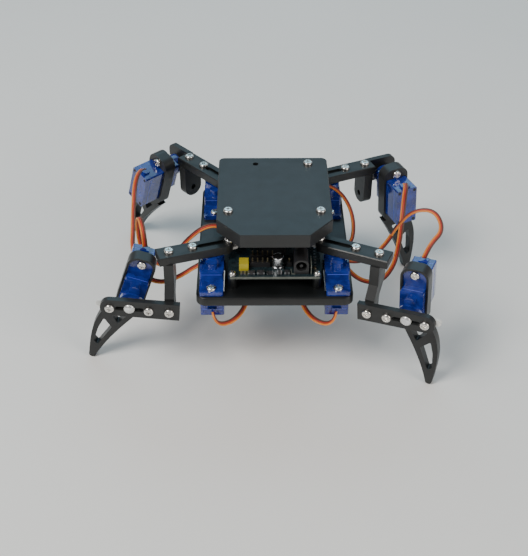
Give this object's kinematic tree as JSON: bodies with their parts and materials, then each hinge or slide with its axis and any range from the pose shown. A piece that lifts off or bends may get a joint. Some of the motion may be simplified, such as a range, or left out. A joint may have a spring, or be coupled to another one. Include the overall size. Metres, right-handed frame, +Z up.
{
  "type": "quadruped walking robot",
  "caption": "Small four-legged walking robot with a flat cover over an open controller board and a hip and knee servo in each windowed leg.",
  "frame": {"origin": "on the floor under the middle of the object's box, leads left out", "axes": "+Z up, front towards -Y, X to the right for someone facing the front"},
  "size_m": [0.1888, 0.1424, 0.0923],
  "materials": {
    "black_plastic": "satin moulded",
    "servo_blue": "translucent, smooth",
    "nylon_white": "smooth",
    "screw_nickel": "bright nickel",
    "circuit_board": "solder mask",
    "jack_black": "moulded",
    "can_aluminium": "bright drawn",
    "relay_yellow": "moulded",
    "header_black": "moulded",
    "chip_plastic": "moulded",
    "lead_wires": "soft insulation"
  },
  "bodies": {
    "chassis": {"base_plate": "black_plastic", "top_cover": "black_plastic", "cover_screws": "screw_nickel", "upper_deck": "black_plastic", "deck_posts": "black_plastic", "controller_board": "circuit_board", "power_jack": "jack_black", "board_capacitor": "can_aluminium", "board_relay_block": "relay_yellow", "board_pin_headers": "header_black", "board_small_parts": "chip_plastic", "board_screws": "screw_nickel", "hip_servo_screws": "screw_nickel", "deck_lead": "lead_wires", "hip_servo_front_left": "servo_blue", "body_lead_front_left": "lead_wires", "hip_servo_front_right": "servo_blue", "body_lead_front_right": "lead_wires", "hip_servo_rear_left": "servo_blue", "body_lead_rear_left": "lead_wires", "hip_servo_rear_right": "servo_blue", "body_lead_rear_right": "lead_wires"},
    "hip_front_left": {"hip_horn_front_left": "nylon_white", "arm_front_left": "black_plastic", "arm_screws_front_left": "screw_nickel", "bracket_front_left": "black_plastic", "knee_horn_front_left": "nylon_white", "knee_lead_front_left": "lead_wires", "link_front_left": "black_plastic"},
    "leg_front_left": {"knee_servo_front_left": "servo_blue", "leg_frame_front_left": "black_plastic", "leg_screws_front_left": "screw_nickel"},
    "hip_front_right": {"hip_horn_front_right": "nylon_white", "arm_front_right": "black_plastic", "arm_screws_front_right": "screw_nickel", "bracket_front_right": "black_plastic", "knee_horn_front_right": "nylon_white", "knee_lead_front_right": "lead_wires", "link_front_right": "black_plastic"},
    "leg_front_right": {"knee_servo_front_right": "servo_blue", "leg_frame_front_right": "black_plastic", "leg_screws_front_right": "screw_nickel"},
    "hip_rear_left": {"hip_horn_rear_left": "nylon_white", "arm_rear_left": "black_plastic", "arm_screws_rear_left": "screw_nickel", "bracket_rear_left": "black_plastic", "knee_horn_rear_left": "nylon_white", "knee_lead_rear_left": "lead_wires"},
    "leg_rear_left": {"knee_servo_rear_left": "servo_blue", "leg_frame_rear_left": "black_plastic", "leg_screws_rear_left": "screw_nickel"},
    "hip_rear_right": {"hip_horn_rear_right": "nylon_white", "arm_rear_right": "black_plastic", "arm_screws_rear_right": "screw_nickel", "bracket_rear_right": "black_plastic", "knee_horn_rear_right": "nylon_white", "knee_lead_rear_right": "lead_wires"},
    "leg_rear_right": {"knee_servo_rear_right": "servo_blue", "leg_frame_rear_right": "black_plastic", "leg_screws_rear_right": "screw_nickel"}
  },
  "joints": [
    {"name": "swing_front_left", "type": "hinge", "parent": "chassis", "child": "hip_front_left", "pos_m": [-0.02683, -0.0341, 0.06929], "axis": [-0.0212, 0.0705, 0.9973], "range_deg": [-25.6, 27.4], "deforming": ["body_lead_front_left"]},
    {"name": "lift_front_left", "type": "hinge", "parent": "hip_front_left", "child": "leg_front_left", "pos_m": [-0.06843, -0.04988, 0.0474], "axis": [0.0364, 0.9969, -0.0697], "range_deg": [-64, 9], "deforming": ["knee_lead_front_left"]},
    {"name": "swing_front_right", "type": "hinge", "parent": "chassis", "child": "hip_front_right", "pos_m": [0.03716, -0.0341, 0.07065], "axis": [0.0212, -0.0705, -0.9973], "range_deg": [-31.9, 21.1], "deforming": ["body_lead_front_right"]},
    {"name": "lift_front_right", "type": "hinge", "parent": "hip_front_right", "child": "leg_front_right", "pos_m": [0.07342, -0.06044, 0.05117], "axis": [-0.4064, -0.912, 0.0558], "range_deg": [-48.5, 24.5], "deforming": ["knee_lead_front_right"]},
    {"name": "swing_rear_left", "type": "hinge", "parent": "chassis", "child": "hip_rear_left", "pos_m": [-0.02673, 0.03353, 0.06451], "axis": [0.0212, -0.0705, -0.9973], "range_deg": [-55.1, 1.9], "deforming": ["body_lead_rear_left"]},
    {"name": "lift_rear_left", "type": "hinge", "parent": "hip_rear_left", "child": "leg_rear_left", "pos_m": [-0.05042, 0.05879, 0.05781], "axis": [0.7334, 0.679, -0.0324], "range_deg": [-36.9, 41.1], "deforming": ["knee_lead_rear_left"]},
    {"name": "swing_rear_right", "type": "hinge", "parent": "chassis", "child": "hip_rear_right", "pos_m": [0.03726, 0.03353, 0.06588], "axis": [-0.0212, 0.0705, 0.9973], "range_deg": [-30.9, 26.1], "deforming": ["body_lead_rear_right"]},
    {"name": "lift_rear_right", "type": "hinge", "parent": "hip_rear_right", "child": "leg_rear_right", "pos_m": [0.06961, 0.0468, 0.06122], "axis": [0.3877, -0.9189, 0.0732], "range_deg": [-21.7, 56.3], "deforming": ["knee_lead_rear_right"]}
  ]
}
